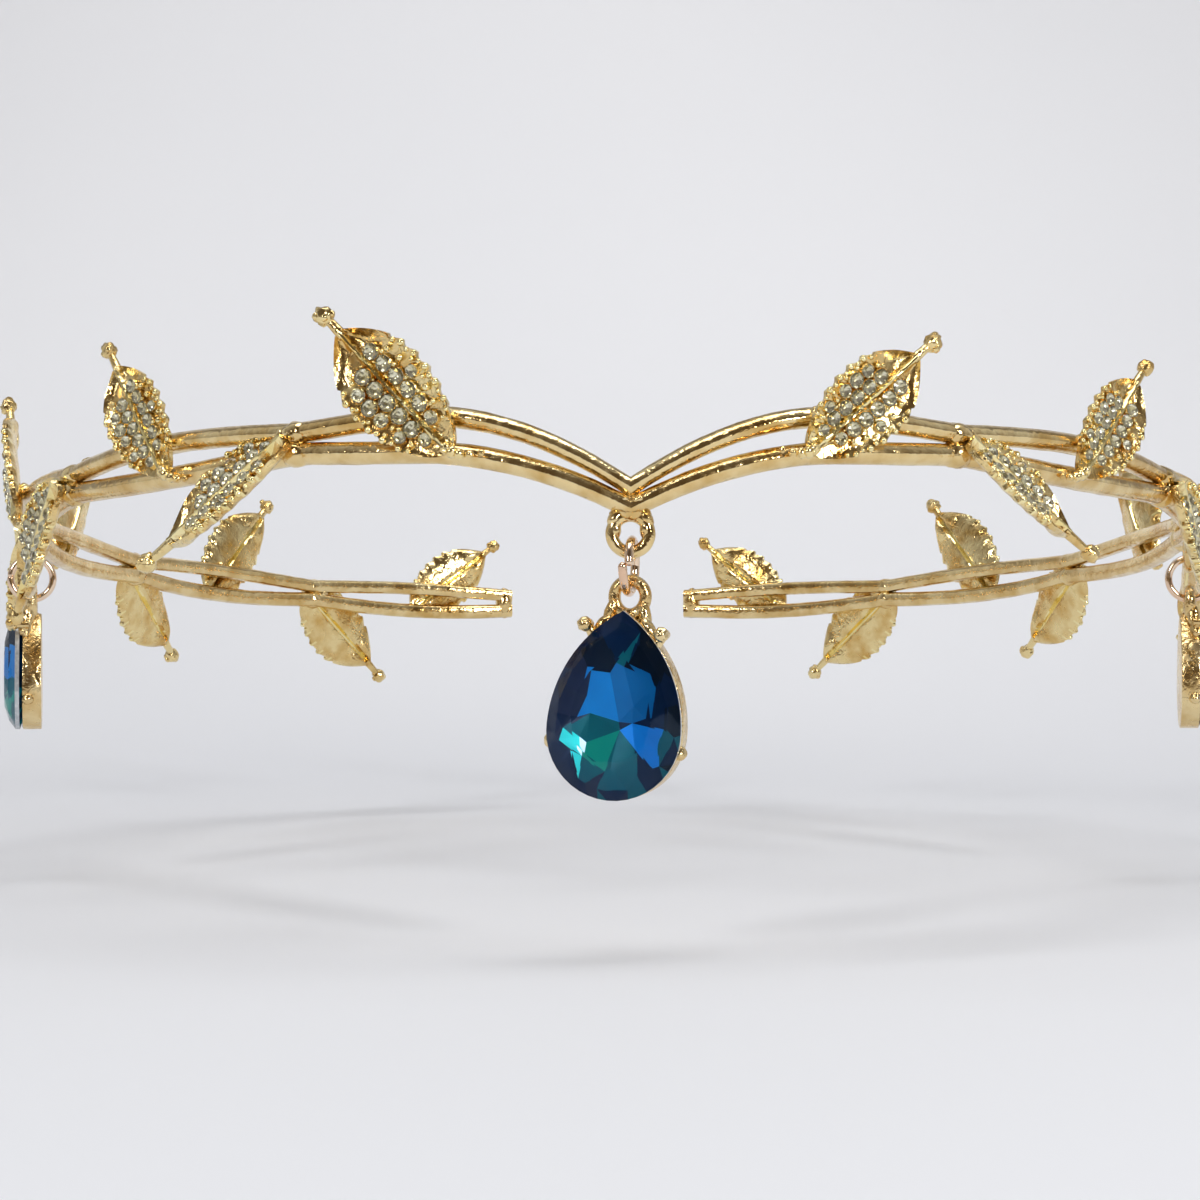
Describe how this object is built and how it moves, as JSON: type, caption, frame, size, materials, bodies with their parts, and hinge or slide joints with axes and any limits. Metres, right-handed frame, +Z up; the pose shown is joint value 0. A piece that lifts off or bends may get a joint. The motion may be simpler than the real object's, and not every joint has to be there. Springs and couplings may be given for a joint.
{
  "type": "jewelled headband",
  "caption": "Open leafy circlet of two interlaced gold strands that dips to a point at the front, with small clear stones on its leaves and blue pear-shaped drops on rings.",
  "frame": {"origin": "the middle of the head opening, halfway between the front and the back and halfway between their heights; the mount head_seat", "axes": "+Z up as worn, -Y towards the front where the drop hangs from the point, +X towards the right as seen from the front"},
  "size_m": [0.1532, 0.178, 0.0474],
  "materials": {
    "gold": "polished pale champagne-gold plate on a cast zinc alloy",
    "link_gold": "polished rose-gold plate on steel wire",
    "clear_stone": "clear cut glass",
    "blue_stone": "deep blue foiled cut glass"
  },
  "bodies": {
    "band": {"vine": "gold", "leaf_stones_left": "clear_stone", "leaf_stones_right": "clear_stone"},
    "front_link": {"front_ring": "link_gold"},
    "front_drop": {"front_setting": "gold", "front_stone": "blue_stone"},
    "left_link": {"left_ring": "link_gold"},
    "left_drop": {"left_setting": "gold", "left_stone": "blue_stone"},
    "right_link": {"right_ring": "link_gold"},
    "right_drop": {"right_setting": "gold", "right_stone": "blue_stone"}
  },
  "joints": [
    {"name": "front_link_swing", "type": "hinge", "parent": "band", "child": "front_link", "pos_m": [0, -0.086, -0.00325], "axis": [1, 0, 0], "range_deg": [-60, 60]},
    {"name": "front_drop_sway", "type": "hinge", "parent": "front_link", "child": "front_drop", "pos_m": [0, -0.086, -0.00708], "axis": [0, 1, 0], "range_deg": [-35, 35]},
    {"name": "left_link_swing", "type": "hinge", "parent": "band", "child": "left_link", "pos_m": [-0.07043, -0.01788, -0.00386], "axis": [0.1752, -0.9845, 0], "range_deg": [-50, 50]},
    {"name": "left_drop_sway", "type": "hinge", "parent": "left_link", "child": "left_drop", "pos_m": [-0.07043, -0.01788, -0.00769], "axis": [0.9845, 0.1752, 0], "range_deg": [-25, 25]},
    {"name": "right_link_swing", "type": "hinge", "parent": "band", "child": "right_link", "pos_m": [0.07043, -0.01788, -0.00386], "axis": [0.1752, 0.9845, 0], "range_deg": [-50, 50]},
    {"name": "right_drop_sway", "type": "hinge", "parent": "right_link", "child": "right_drop", "pos_m": [0.07043, -0.01788, -0.00769], "axis": [-0.9845, 0.1752, 0], "range_deg": [-25, 25]}
  ]
}
